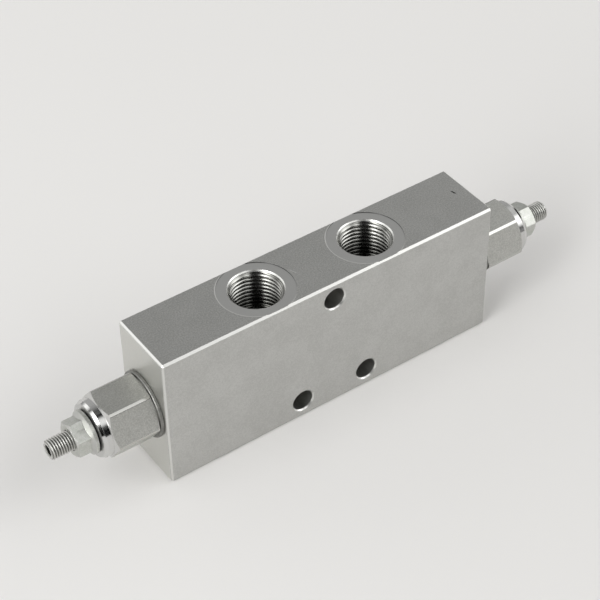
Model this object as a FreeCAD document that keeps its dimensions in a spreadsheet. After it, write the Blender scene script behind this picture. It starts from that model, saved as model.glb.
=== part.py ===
import FreeCAD, Part
import math
import os
import re
import Sketcher

# Double brake valve for a hydraulic motor or cylinder: a steel block with two pressure
# adjusters on one axis, two valve ports on top and two cylinder ports underneath.
# Frame: X along the block, the three mounting holes along Y, Z up, origin under the middle.

# Driving sizes in millimetres and degrees. A distance "from the middle" is along X.
SIZES = [
    ("block_length", 150.0, "block along X"),
    ("block_width", 30.0, "block along Y"),
    ("block_height", 60.0, "block along Z"),
    ("block_edge", 0.8, "broken edge of the block"),
    ("axis_height", 30.0, "axis of the adjusters above the bottom"),
    ("valve_port_spacing", 50.0, "between the ports on top"),
    ("cylinder_port_spacing", 100.0, "between the ports underneath"),
    ("port_thread", 20.955, "half inch pipe thread, major diameter"),
    ("port_minor", 18.631, "half inch pipe thread, minor diameter"),
    ("port_mouth", 22.0, "countersink of a port"),
    ("valve_thread_depth", 19.0, "thread of a port on top, from the face"),
    ("cylinder_thread_depth", 16.0, "thread of a port underneath, from the face"),
    ("valve_port_depth", 26.0, "drilling of a port on top"),
    ("cylinder_port_depth", 20.5, "drilling of a port underneath"),
    ("drill_point", 118.0, "angle of a drill's point"),
    ("spot_face", 30.0, "spot face round a port"),
    ("spot_depth", 0.2, "depth of a spot face"),
    ("mount_hole", 9.0, "mounting hole"),
    ("mount_mouth", 10.0, "broken edge of a mounting hole"),
    ("upper_hole_height", 52.5, "upper mounting hole above the bottom"),
    ("lower_hole_height", 8.0, "lower mounting holes above the bottom"),
    ("lower_hole_spacing", 30.0, "between the lower mounting holes"),
    ("running_gap", 0.03, "radial gap of a sliding fit"),
    ("seal_gap", 0.02, "gap round a seal in its groove"),
    ("thread_gap", 0.05, "radial gap of a screwed fit"),
    ("contact_gap", 0.05, "gap where one moving piece pushes another"),
    ("pilot_diameter", 12.0, "pilot piston"),
    ("pilot_land", 21.0, "guided length of the pilot piston"),
    ("pilot_nose", 5.2, "nose at each end of the pilot piston"),
    ("pilot_length", 34.0, "pilot piston over its noses"),
    ("pilot_travel", 2.0, "from a nose to the stem that it pushes"),
    ("passage", 12.4, "passage inside a main seat"),
    ("seat_inset", 35.0, "main seat inside the block's end"),
    ("seat_edge", 0.3, "conical seat in the block"),
    ("seat_clearance", 0.12, "closed cone to its seat, along X"),
    ("chamber", 18.4, "chamber outside a main seat"),
    ("bonnet_thread", 20.0, "thread of a bonnet"),
    ("bonnet_thread_length", 15.0, "thread of a bonnet in the block"),
    ("thread_relief", 1.2, "tapped length past a bonnet's end"),
    ("bonnet_mouth", 21.4, "countersink for a bonnet"),
    ("washer_outer", 27.0, "seal washer under a bonnet"),
    ("washer_split", 22.0, "joint between metal and rubber of the washer"),
    ("washer_inner", 20.3, "rubber lip of the washer"),
    ("washer_thickness", 1.5, "thickness of the seal washer"),
    ("washer_edge", 0.3, "broken outer edges of the washer"),
    ("lip_slope", 0.25, "slope on both sides of the rubber lip"),
    ("bonnet_boss", 24.0, "round foot of a bonnet"),
    ("bonnet_boss_length", 0.3, "length of the round foot"),
    ("bonnet_hex", 24.0, "bonnet across its flats"),
    ("bonnet_corner", 27.1, "bonnet over its broken corners"),
    ("bonnet_lead", 0.3, "sloped corners beside the foot"),
    ("bonnet_hex_length", 18.4, "hexagon with its sloped corners"),
    ("bonnet_shoulder", 1.2, "sloped corners beside the polished band"),
    ("bonnet_shoulder_face", 23.2, "small end of that slope"),
    ("bonnet_band", 23.0, "polished band of a bonnet"),
    ("bonnet_band_length", 2.05, "length of the polished band"),
    ("bonnet_face", 21.5, "outer face of a bonnet"),
    ("bonnet_nose_length", 1.45, "bevel round the outer face"),
    ("bonnet_floor", 9.0, "solid end of a bonnet"),
    ("left_bonnet_turn", 54.0, "a corner of the left hexagon above level, at the front"),
    ("right_bonnet_turn", 10.2, "a corner of the right hexagon above level, at the back"),
    ("poppet_guide", 14.0, "guided part of a main poppet"),
    ("poppet_depth", 11.0, "outer end of a main poppet inside the block's end"),
    ("poppet_stem", 6.0, "stem of a main poppet"),
    ("poppet_nose", 10.0, "hollow nose inside the seat"),
    ("poppet_nose_length", 7.0, "hollow nose, back from the seat"),
    ("poppet_lift", 2.0, "how far the pilot piston opens a main poppet"),
    ("inlet_bore", 6.0, "bore of the hollow nose"),
    ("inlet_wall", 1.2, "wall between stem and bore"),
    ("cross_hole", 3.6, "cross holes in a main poppet"),
    ("inlet_hole_back", 3.3, "inlet holes, back from the seat"),
    ("outlet_hole_ahead", 4.6, "outlet holes, ahead of the seat"),
    ("check_seat_ahead", 2.0, "check seat, ahead of the main seat"),
    ("check_chamber", 9.2, "chamber of the check poppet"),
    ("check_nose", 3.0, "small end of the check cone"),
    ("check_waist", 7.6, "waist of the check poppet"),
    ("check_waist_length", 5.6, "cone and waist, ahead of the check seat"),
    ("check_guide_length", 5.4, "guided part of the check poppet"),
    ("check_spigot_length", 2.0, "spigot behind the check poppet"),
    ("check_lift", 2.5, "travel of the check poppet to the plug's spigot"),
    ("check_spring_radius", 3.55, "check spring, middle of the wire"),
    ("check_wire", 0.8, "wire of the check spring"),
    ("check_turns", 3.5, "turns of the check spring"),
    ("inner_spigot", 5.2, "spigots inside the check spring"),
    ("plug_thread_length", 4.0, "plug in the end of a main poppet"),
    ("plug_flange", 13.2, "plug's flange under the main spring"),
    ("plug_flange_thickness", 1.2, "thickness of the plug's flange"),
    ("outer_spigot", 7.4, "spigots inside the main spring"),
    ("outer_spigot_length", 2.8, "length of those spigots"),
    ("driver_socket", 4.0, "hexagon sockets across their flats"),
    ("plug_socket_depth", 2.4, "socket in the plug"),
    ("main_spring_length", 18.0, "main spring as set"),
    ("main_spring_radius", 5.3, "main spring, middle of the wire"),
    ("main_wire", 2.4, "wire of the main spring"),
    ("main_turns", 4.0, "turns of the main spring"),
    ("spring_seat_thickness", 4.0, "disc of a spring seat"),
    ("groove_width", 1.8, "seal groove"),
    ("groove_depth", 1.25, "seal groove, under the guide"),
    ("seal_width", 1.5, "seal along its axis"),
    ("seal_bulge", 0.4, "bulge of a pressed seal to each side"),
    ("guide_seal_back", 1.0, "seal groove to the end of its guide"),
    ("piece_edge", 0.3, "broken edges of the inner pieces"),
    ("adjuster_thread", 8.0, "adjusting screw"),
    ("adjuster_gap", 0.04, "radial gap of the adjusting screw"),
    ("adjuster_tip", 5.6, "inner tip of an adjusting screw"),
    ("adjuster_tip_length", 1.5, "length of the inner tip"),
    ("adjuster_point", 6.8, "outer end of an adjusting screw"),
    ("adjuster_bevel", 0.6, "bevel at the outer end"),
    ("adjuster_reach", 17.1, "adjusting screw past the bonnet's face"),
    ("adjuster_socket_depth", 4.5, "socket in the adjusting screw"),
    ("nut_seal_outer", 16.0, "rubber ring under a lock nut"),
    ("nut_seal_inner", 9.4, "hole of the rubber ring"),
    ("nut_seal_thickness", 1.0, "thickness of the rubber ring"),
    ("nut_flange", 17.4, "flange of a lock nut"),
    ("nut_rim", 1.0, "rim of the flange"),
    ("nut_slope", 1.5, "sloped top of the flange"),
    ("nut_hex", 13.0, "lock nut across its flats"),
    ("nut_corner", 14.6, "lock nut over its corners"),
    ("nut_height", 7.4, "lock nut with its flange"),
    ("nut_bevel", 0.45, "bevel at the nut's outer face"),
    ("nut_face", 12.4, "flat outer face of the nut"),
    ("left_nut_turn", 26.0, "a corner of the left nut above level, at the front"),
    ("right_nut_turn", 44.5, "a corner of the right nut above level, at the back"),
]

FUNCTIONS = {"tan", "cos"}
FULL_TURN = 360
CROSS_HOLES = 3
WIRE_SIDES = 6

# Places along X from the middle, as formulas of the sizes, so that each is written once.
BLOCK_END = "(block_length / 2)"
SEAT = f"({BLOCK_END} - seat_inset)"
SHANK_END = f"({BLOCK_END} - bonnet_thread_length)"
THREAD_END = f"({SHANK_END} - thread_relief)"
BOSS_START = f"({BLOCK_END} + washer_thickness)"
HEX_START = f"({BOSS_START} + bonnet_boss_length)"
HEX_END = f"({HEX_START} + bonnet_hex_length)"
BAND_END = f"({HEX_END} + bonnet_band_length)"
BONNET_END = f"({BAND_END} + bonnet_nose_length)"
SPRING_BORE_END = f"({BONNET_END} - bonnet_floor)"
NUT_START = f"({BONNET_END} + nut_seal_thickness)"
NUT_END = f"({NUT_START} + nut_height)"
SCREW_END = f"({BONNET_END} + adjuster_reach)"
PILOT_BORE_END = "(pilot_land / 2 + pilot_travel + poppet_lift)"
PILOT_END = "(pilot_length / 2)"
STEM_END = f"({PILOT_END} + pilot_travel)"
NOSE_START = f"({SEAT} - poppet_nose_length)"
CHECK_SEAT = f"({SEAT} + check_seat_ahead)"
CHECK_GUIDE = f"({CHECK_SEAT} + check_waist_length)"
CHECK_BACK = f"({CHECK_GUIDE} + check_guide_length)"
CHECK_END = f"({CHECK_BACK} + check_spigot_length)"
POPPET_END = f"({BLOCK_END} - poppet_depth)"
PLUG_START = f"({POPPET_END} - plug_thread_length)"
PLUG_END = f"({POPPET_END} + plug_flange_thickness)"
SEAT_START = f"({PLUG_END} + main_spring_length)"
SEAT_END = f"({SEAT_START} + spring_seat_thickness)"
SCREW_START = f"({SEAT_END} + contact_gap)"

# Radii that more than one piece depends on.
PILOT_RADIUS = "(pilot_diameter / 2)"
GUIDE_RADIUS = "(poppet_guide / 2)"
SEAT_RADIUS = "(passage / 2 + seat_edge)"
INLET_RADIUS = "(inlet_bore / 2)"
CHECK_SEAT_RADIUS = "(inlet_bore / 2 + seat_edge)"
CHECK_RADIUS = "(check_chamber / 2)"


def in_sheet(formula):
    """Turn a formula of size names into an expression that reads the sheet."""
    def place(word):
        return word.group() if word.group() in FUNCTIONS else "Sizes." + word.group()
    return re.sub(r"[a-z][a-z_]*", place, formula)


def make_sheet(document):
    """Write the driving sizes into the document's sheet, one row each."""
    sheet = document.addObject("Spreadsheet::Sheet", "Sizes")
    for row, (alias, value, note) in enumerate(SIZES, start=1):
        sheet.set(f"A{row}", note)
        sheet.set(f"B{row}", str(value))
        sheet.setAlias(f"B{row}", alias)
    document.recompute()
    return sheet


def make_body(label, height="axis_height", turned=False):
    """Start a piece whose own axis lies along X, at a height above the bottom."""
    body = document.addObject("PartDesign::Body", label)
    body.Label = label
    if turned:
        body.Placement.Rotation = FreeCAD.Rotation(FreeCAD.Vector(0, 0, 1), FULL_TURN / 2)
    if height:
        body.setExpression("Placement.Base.z", in_sheet(height))
    return body


def make_sketch(body, name, plane, origin):
    """Attach an empty sketch to one of the body's own planes, moved to origin."""
    sketch = body.newObject("Sketcher::SketchObject", name)
    support = [item for item in body.Origin.OriginFeatures if item.Role == plane]
    sketch.AttachmentSupport = (support[0], [""])
    sketch.MapMode = "FlatFace"
    for axis, formula in zip("xyz", origin):
        sketch.setExpression("AttachmentOffset.Base." + axis, in_sheet(formula))
    return sketch


def outline(body, name, points, plane="XZ_Plane", origin=("0", "0", "0")):
    """Draw a closed sketch of straight edges through points given as pairs of formulas."""
    sketch = make_sketch(body, name, plane, origin)
    count = len(points)
    turns = [2 * math.pi * k / count for k in range(count)]
    start = [FreeCAD.Vector(math.cos(turn), math.sin(turn), 0) for turn in turns]
    for k in range(count):
        sketch.addGeometry(Part.LineSegment(start[k], start[(k + 1) % count]), False)
    for k in range(count):
        sketch.addConstraint(Sketcher.Constraint("Coincident", k, 2, (k + 1) % count, 1))
    for k, point in enumerate(points):
        for kind, formula, value in zip(("DistanceX", "DistanceY"), point, start[k]):
            index = sketch.addConstraint(Sketcher.Constraint(kind, -1, 1, k, 1, value))
            sketch.setExpression(f"Constraints[{index}]", in_sheet(formula))
    return sketch


def turn(body, name, points, plane="XZ_Plane", origin=("0", "0", "0"), cut=False, axis="H_Axis"):
    """Revolve an outline into the body, or cut it out as a groove."""
    sketch = outline(body, name + "_outline", points, plane, origin)
    kind = "PartDesign::Groove" if cut else "PartDesign::Revolution"
    feature = body.newObject(kind, name)
    feature.Profile = sketch
    feature.ReferenceAxis = (sketch, [axis])
    feature.Angle = FULL_TURN
    return feature


def hexagon(sketch, flats, corner_angle):
    """Draw a hexagon round the sketch's origin, with one corner at an angle."""
    sides = 6
    for k in range(sides):
        ends = [math.radians(60 * (k + step)) for step in (0, 1)]
        points = [FreeCAD.Vector(math.cos(end), math.sin(end), 0) for end in ends]
        sketch.addGeometry(Part.LineSegment(*points), False)
    circle = sketch.addGeometry(Part.Circle(FreeCAD.Vector(), FreeCAD.Vector(0, 0, 1), 1), True)
    arm = sketch.addGeometry(Part.LineSegment(FreeCAD.Vector(), FreeCAD.Vector(1, 0, 0)), True)
    rules = [Sketcher.Constraint("Coincident", circle, 3, -1, 1),
             Sketcher.Constraint("Coincident", arm, 1, -1, 1),
             Sketcher.Constraint("Coincident", arm, 2, 0, 1)]
    for k in range(sides):
        rules.append(Sketcher.Constraint("Coincident", k, 2, (k + 1) % sides, 1))
        rules.append(Sketcher.Constraint("PointOnObject", k, 1, circle))
    for k in range(1, sides):
        rules.append(Sketcher.Constraint("Equal", 0, k))
    sketch.addConstraint(rules)
    radius = sketch.addConstraint(Sketcher.Constraint("Radius", circle, 1.0))
    sketch.setExpression(f"Constraints[{radius}]", in_sheet(f"{flats} / (2 * cos(30))"))
    angle = sketch.addConstraint(Sketcher.Constraint("Angle", arm, 0.0))
    sketch.setExpression(f"Constraints[{angle}]", in_sheet(corner_angle))


def mill_hexagon(body, flats, start, length, corner_angle, waste):
    """Mill a turned piece to a hexagon over a length, leaving the rest round."""
    sketch = make_sketch(body, "flats_outline", "YZ_Plane", ("0", "0", start))
    hexagon(sketch, flats, corner_angle)
    ring = sketch.addGeometry(Part.Circle(FreeCAD.Vector(), FreeCAD.Vector(0, 0, 1), 2), False)
    sketch.addConstraint(Sketcher.Constraint("Coincident", ring, 3, -1, 1))
    outside = sketch.addConstraint(Sketcher.Constraint("Radius", ring, 2.0))
    sketch.setExpression(f"Constraints[{outside}]", in_sheet(waste))
    flats_cut = body.newObject("PartDesign::Pocket", "flats")
    flats_cut.Profile = sketch
    flats_cut.Reversed = True
    flats_cut.setExpression("Length", in_sheet(length))


def sink_socket(body, name, end, depth):
    """Sink a hexagon socket into the outer end of a piece."""
    sketch = make_sketch(body, name + "_outline", "YZ_Plane", ("0", "0", end))
    hexagon(sketch, "driver_socket", "0")
    socket = body.newObject("PartDesign::Pocket", name)
    socket.Profile = sketch
    socket.setExpression("Length", in_sheet(depth))


def port_outline(thread_depth, depth):
    """Half section of a threaded port: across, then down from the face."""
    drill = "port_minor / 2"
    return [("0", "0"), ("spot_face / 2", "0"), ("spot_face / 2", "-spot_depth"),
            ("port_mouth / 2", "-spot_depth"),
            ("port_thread / 2", "-spot_depth - (port_mouth - port_thread) / 2"),
            ("port_thread / 2", f"-{thread_depth}"),
            (drill, f"-{thread_depth} - (port_thread - port_minor) / 2"),
            (drill, f"-{depth}"),
            ("0", f"-{depth} - {drill} / tan(drill_point / 2)")]


def upside_down(points):
    """The same half section, seen from below."""
    return [(across, f"-({down})") for across, down in points]


def mount_hole(body, name, along, height):
    """Drill one mounting hole through the block's width and break both its edges."""
    half = "block_width / 2"
    mouth = "(mount_mouth - mount_hole) / 2"
    points = [(f"-({half})", "0"), (f"-({half})", "mount_mouth / 2"),
              (f"-({half}) + {mouth}", "mount_hole / 2"), (f"{half} - {mouth}", "mount_hole / 2"),
              (half, "mount_mouth / 2"), (half, "0")]
    return turn(body, name, points, "YZ_Plane", ("0", height, along), cut=True)


def build_block():
    """The block: one steel bar, bored from both ends and drilled from above and below."""
    body = make_body("valve_body", height=None)
    x, y = "block_length / 2", "block_width / 2"
    corners = [(x, y), (f"-({x})", y), (f"-({x})", f"-({y})"), (x, f"-({y})")]
    bar = body.newObject("PartDesign::Pad", "bar")
    bar.Profile = outline(body, "bar_outline", corners, "XY_Plane")
    bar.setExpression("Length", in_sheet("block_height"))
    document.recompute()
    edges = body.newObject("PartDesign::Chamfer", "bar_edges")
    edges.Base = (bar, [f"Edge{k + 1}" for k in range(len(bar.Shape.Edges))])
    edges.setExpression("Size", in_sheet("block_edge"))

    pilot = f"({PILOT_RADIUS} + running_gap)"
    threaded = "(bonnet_thread / 2 + thread_gap)"
    mouth = "bonnet_mouth / 2"
    bore = [("0", "0"), ("0", pilot), (PILOT_BORE_END, pilot),
            (f"{PILOT_BORE_END} + passage / 2 - {pilot}", "passage / 2"),
            (f"{SEAT} - seat_edge", "passage / 2"), (SEAT, SEAT_RADIUS),
            (SEAT, "chamber / 2"), (THREAD_END, "chamber / 2"),
            (THREAD_END, threaded), (f"{BLOCK_END} - ({mouth} - {threaded})", threaded),
            (BLOCK_END, mouth), (BLOCK_END, "0")]
    main_bore = turn(body, "main_bore", bore, origin=("0", "axis_height", "0"), cut=True)
    top = port_outline("valve_thread_depth", "valve_port_depth")
    valve_port = turn(body, "valve_port", top, axis="V_Axis",
                      origin=("valve_port_spacing / 2", "block_height", "0"), cut=True)
    bottom = upside_down(port_outline("cylinder_thread_depth", "cylinder_port_depth"))
    cylinder_port = turn(body, "cylinder_port", bottom, axis="V_Axis",
                         origin=("cylinder_port_spacing / 2", "0", "0"), cut=True)
    lower_hole = mount_hole(body, "lower_hole", "lower_hole_spacing / 2", "lower_hole_height")
    both = body.newObject("PartDesign::Mirrored", "both_sides")
    both.Originals = [main_bore, valve_port, cylinder_port, lower_hole]
    both.MirrorPlane = ([p for p in body.Origin.OriginFeatures if p.Role == "YZ_Plane"][0], [""])
    body.Tip = both
    mount_hole(body, "upper_hole", "0", "upper_hole_height")
    return body


def build_bonnet(side, turned):
    """A bonnet: threaded shank, foot, hexagon, polished band and a bevelled face."""
    body = make_body("bonnet_" + side, turned=turned)
    bore = f"({GUIDE_RADIUS} + running_gap)"
    screw = "(adjuster_thread / 2 + adjuster_gap)"
    drill = f"{SPRING_BORE_END} + ({bore} - {screw}) / tan(drill_point / 2)"
    corner = "bonnet_corner / 2"
    profile = [(SHANK_END, f"{bore} + piece_edge"), (SHANK_END, "bonnet_thread / 2 - piece_edge"),
               (f"{SHANK_END} + piece_edge", "bonnet_thread / 2"), (BOSS_START, "bonnet_thread / 2"),
               (BOSS_START, "bonnet_boss / 2"), (HEX_START, "bonnet_boss / 2"),
               (f"{HEX_START} + bonnet_lead", corner),
               (f"{HEX_END} - bonnet_shoulder", corner), (HEX_END, "bonnet_shoulder_face / 2"),
               (HEX_END, "bonnet_band / 2"), (BAND_END, "bonnet_band / 2"),
               (BONNET_END, "bonnet_face / 2"), (BONNET_END, f"{screw} + piece_edge"),
               (f"{BONNET_END} - piece_edge", screw), (drill, screw), (SPRING_BORE_END, bore),
               (f"{SHANK_END} + piece_edge", bore)]
    turn(body, "turned", profile)
    mill_hexagon(body, "bonnet_hex", HEX_START, "bonnet_hex_length",
                 side + "_bonnet_turn", "bonnet_corner")
    return body


def build_ring(label, inner, outer, start, end, turned, slope="0"):
    """A ring round the axis, thinner towards its hole where a slope is given."""
    body = make_body(label, turned=turned)
    turn(body, "turned", [(f"{start} + {slope}", inner), (start, outer), (end, outer),
                          (f"{end} - {slope}", inner)])
    return body


def build_washer(side, turned):
    """The metal ring of a seal washer, with broken outer edges."""
    body = make_body("seal_washer_" + side, turned=turned)
    inner, outer = "(washer_split / 2 + seal_gap)", "(washer_outer / 2)"
    turn(body, "turned", [(BLOCK_END, inner), (BLOCK_END, f"{outer} - washer_edge"),
                          (f"{BLOCK_END} + washer_edge", outer), (f"{BOSS_START} - washer_edge", outer),
                          (BOSS_START, f"{outer} - washer_edge"), (BOSS_START, inner)])
    return body


def build_seal(label, guide, middle, turned):
    """A rubber ring pressed flat in its groove, so that it bulges to both sides."""
    body = make_body(label, turned=turned)
    floor = f"({guide} - groove_depth + seal_gap)"
    outer = f"({guide} + running_gap - seal_gap)"
    waist = f"({floor} + {outer}) / 2"
    first, last = f"({middle} - seal_width / 2)", f"({middle} + seal_width / 2)"
    turn(body, "turned", [(first, waist), (f"{first} + seal_bulge", outer),
                          (f"{last} - seal_bulge", outer), (last, waist),
                          (f"{last} - seal_bulge", floor), (f"{first} + seal_bulge", floor)])
    return body


def grooved(guide, middle):
    """Four outline points of a seal groove in a guide, in the direction of +X."""
    floor = f"{guide} - groove_depth"
    low, high = f"{middle} - groove_width / 2", f"{middle} + groove_width / 2"
    return [(low, guide), (low, floor), (high, floor), (high, guide)]


def build_pilot():
    """The pilot piston: a sealed land between the valve ports, with a nose each way."""
    body = make_body("pilot_piston")
    nose = "pilot_nose / 2"
    land = "(pilot_land / 2)"
    right = [(land, f"{PILOT_RADIUS} - piece_edge"), (land, nose),
             (f"{PILOT_END} - piece_edge", nose), (PILOT_END, f"{nose} - piece_edge"),
             (PILOT_END, "0")]
    left = [(f"-({x})", y) for x, y in reversed(right)]
    top = [(f"-({land} - piece_edge)", PILOT_RADIUS)] + grooved(PILOT_RADIUS, "0")
    turn(body, "turned", left + top + [(f"{land} - piece_edge", PILOT_RADIUS)] + right)
    return body


def cross_holes(body, name, place):
    """Drill a ring of holes through the wall of a hollow piece."""
    sketch = make_sketch(body, name + "_outline", "XY_Plane", ("0", "0", "0"))
    circle = sketch.addGeometry(Part.Circle(FreeCAD.Vector(1, 0, 0), FreeCAD.Vector(0, 0, 1), 1), False)
    rules = [("PointOnObject", circle, 3, -1)]
    sketch.addConstraint([Sketcher.Constraint(*rule) for rule in rules])
    radius = sketch.addConstraint(Sketcher.Constraint("Radius", circle, 1.0))
    sketch.setExpression(f"Constraints[{radius}]", in_sheet("cross_hole / 2"))
    along = sketch.addConstraint(Sketcher.Constraint("DistanceX", -1, 1, circle, 3, 1.0))
    sketch.setExpression(f"Constraints[{along}]", in_sheet(place))
    hole = body.newObject("PartDesign::Pocket", name)
    hole.Profile = sketch
    hole.Reversed = True
    hole.setExpression("Length", in_sheet("poppet_guide"))
    ring = body.newObject("PartDesign::PolarPattern", name + "_ring")
    ring.Originals = [hole]
    ring.Axis = ([p for p in body.Origin.OriginFeatures if p.Role == "X_Axis"][0], [""])
    ring.Angle = FULL_TURN
    ring.Occurrences = CROSS_HOLES
    body.Tip = ring


def build_main_poppet(side, turned):
    """A main poppet: stem towards the pilot piston, cone on the seat, hollow sealed guide."""
    body = make_body("main_poppet_" + side, turned=turned)
    stem, nose = "poppet_stem / 2", "poppet_nose / 2"
    cone = f"({SEAT} + seat_clearance - {SEAT_RADIUS})"
    groove = f"({POPPET_END} - guide_seal_back - groove_width / 2)"
    profile = [(STEM_END, "0"), (STEM_END, f"{stem} - piece_edge"),
               (f"{STEM_END} + piece_edge", stem), (f"{NOSE_START} - ({nose} - {stem})", stem),
               (NOSE_START, nose), (f"{cone} + {nose}", nose),
               (f"{cone} + {GUIDE_RADIUS}", GUIDE_RADIUS)] + grooved(GUIDE_RADIUS, groove)
    profile += [(f"{POPPET_END} - piece_edge", GUIDE_RADIUS),
                (POPPET_END, f"{GUIDE_RADIUS} - piece_edge"), (POPPET_END, CHECK_RADIUS),
                (CHECK_SEAT, CHECK_RADIUS), (CHECK_SEAT, CHECK_SEAT_RADIUS),
                (f"{CHECK_SEAT} - seat_edge", INLET_RADIUS),
                (f"{NOSE_START} + inlet_wall", INLET_RADIUS),
                (f"{NOSE_START} + inlet_wall - {INLET_RADIUS} / tan(drill_point / 2)", "0")]
    turn(body, "turned", profile)
    cross_holes(body, "inlet_holes", f"{SEAT} - inlet_hole_back")
    cross_holes(body, "outlet_holes", f"{SEAT} + outlet_hole_ahead")
    return body


def build_check_poppet(side, turned):
    """A check poppet: cone on the seat in the main poppet, guided skirt, spring spigot."""
    body = make_body("check_poppet_" + side, turned=turned)
    cone = f"({CHECK_SEAT} + seat_clearance - {CHECK_SEAT_RADIUS})"
    waist, small = "check_waist / 2", "check_nose / 2"
    guide = f"({CHECK_RADIUS} - running_gap)"
    spigot = "inner_spigot / 2"
    profile = [(f"{cone} + {small}", "0"), (f"{cone} + {small}", small),
               (f"{cone} + {waist}", waist), (f"{CHECK_GUIDE} - ({guide} - {waist})", waist),
               (CHECK_GUIDE, guide), (CHECK_BACK, guide), (CHECK_BACK, spigot),
               (f"{CHECK_END} - piece_edge", spigot), (CHECK_END, f"{spigot} - piece_edge"),
               (CHECK_END, "0")]
    turn(body, "turned", profile)
    return body


def build_plug(side, turned):
    """The plug that closes a main poppet and carries both its springs."""
    body = make_body("check_plug_" + side, turned=turned)
    thread = f"({CHECK_RADIUS} - thread_gap)"
    inner, outer = "inner_spigot / 2", "outer_spigot / 2"
    first = f"{CHECK_END} + check_lift + contact_gap"
    last = f"{PLUG_END} + outer_spigot_length"
    profile = [(first, "0"), (first, f"{inner} - piece_edge"), (f"{first} + piece_edge", inner),
               (PLUG_START, inner), (PLUG_START, thread), (POPPET_END, thread),
               (POPPET_END, "plug_flange / 2"), (PLUG_END, "plug_flange / 2"), (PLUG_END, outer),
               (f"{last} - piece_edge", outer), (last, f"{outer} - piece_edge"), (last, "0")]
    turn(body, "turned", profile)
    sink_socket(body, "socket", last, "plug_socket_depth")
    return body


def build_spring_seat(side, turned):
    """A spring seat: a sealed disc between the main spring and the adjusting screw."""
    body = make_body("spring_seat_" + side, turned=turned)
    spigot = "outer_spigot / 2"
    first = f"{SEAT_START} - outer_spigot_length"
    groove = f"({SEAT_START} + spring_seat_thickness / 2)"
    profile = [(first, "0"), (first, f"{spigot} - piece_edge"), (f"{first} + piece_edge", spigot),
               (SEAT_START, spigot), (SEAT_START, GUIDE_RADIUS)] + grooved(GUIDE_RADIUS, groove)
    profile += [(SEAT_END, GUIDE_RADIUS), (SEAT_END, "0")]
    turn(body, "turned", profile)
    return body


def build_adjuster(side, turned):
    """An adjusting screw: inner tip, threaded length, bevelled end with its socket."""
    body = make_body("adjusting_screw_" + side, turned=turned)
    tip, full = "adjuster_tip / 2", "adjuster_thread / 2"
    profile = [(SCREW_START, "0"), (SCREW_START, tip), (f"{SCREW_START} + adjuster_tip_length", tip),
               (f"{SCREW_START} + adjuster_tip_length + {full} - {tip}", full),
               (f"{SCREW_END} - adjuster_bevel", full), (SCREW_END, "adjuster_point / 2"),
               (SCREW_END, "0")]
    turn(body, "turned", profile)
    sink_socket(body, "socket", SCREW_END, "adjuster_socket_depth")
    return body


def build_lock_nut(side, turned):
    """A flanged lock nut: rim, sloped flange, hexagon with a bevelled outer face."""
    body = make_body("lock_nut_" + side, turned=turned)
    hole, corner = "(adjuster_thread / 2 + thread_gap)", "nut_corner / 2"
    slope_end = f"({NUT_START} + nut_rim + nut_slope)"
    profile = [(NUT_START, f"{hole} + piece_edge"), (NUT_START, "nut_flange / 2 - piece_edge"),
               (f"{NUT_START} + piece_edge", "nut_flange / 2"),
               (f"{NUT_START} + nut_rim", "nut_flange / 2"), (slope_end, corner),
               (f"{NUT_END} - nut_bevel", corner), (NUT_END, "nut_face / 2"),
               (NUT_END, f"{hole} + piece_edge"), (f"{NUT_END} - piece_edge", hole),
               (f"{NUT_START} + piece_edge", hole)]
    turn(body, "turned", profile)
    mill_hexagon(body, "nut_hex", f"{NUT_START} + nut_rim", "nut_height - nut_rim",
                 side + "_nut_turn", "nut_flange")
    return body


def build_spring(label, radius, wire, turns, start, length, turned):
    """A coil spring with ground ends: a many-sided wire swept round the axis."""
    helix = document.addObject("Part::Helix", label + "_path")
    helix.setExpression("Radius", in_sheet(radius))
    helix.setExpression("Pitch", in_sheet(f"{length} / {turns}"))
    helix.setExpression("Height", in_sheet(length))
    section = document.addObject("Part::RegularPolygon", label + "_wire")
    section.Polygon = WIRE_SIDES
    section.setExpression("Circumradius", in_sheet(f"{wire} / 2"))
    section.Placement.Rotation = FreeCAD.Rotation(FreeCAD.Vector(1, 0, 0), FULL_TURN / 4)
    section.setExpression("Placement.Base.x", in_sheet(radius))
    sweep = document.addObject("Part::Sweep", label + "_coil")
    sweep.Sections = [section]
    sweep.Spine = (helix, ["Edge1"])
    sweep.Solid = True
    sweep.Frenet = True
    wheel = document.addObject("Part::Cylinder", label + "_grinding")
    wheel.setExpression("Radius", in_sheet(f"{radius} + {wire}"))
    wheel.setExpression("Height", in_sheet(length))
    spring = document.addObject("Part::Common", label)
    spring.Base = sweep
    spring.Tool = wheel
    spring.Label = label
    side = -1 if turned else 1
    spring.Placement.Rotation = FreeCAD.Rotation(FreeCAD.Vector(0, side, 0), FULL_TURN / 4)
    spring.setExpression("Placement.Base.x", in_sheet(f"{side} * ({start})"))
    spring.setExpression("Placement.Base.z", in_sheet("axis_height"))
    return spring


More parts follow.
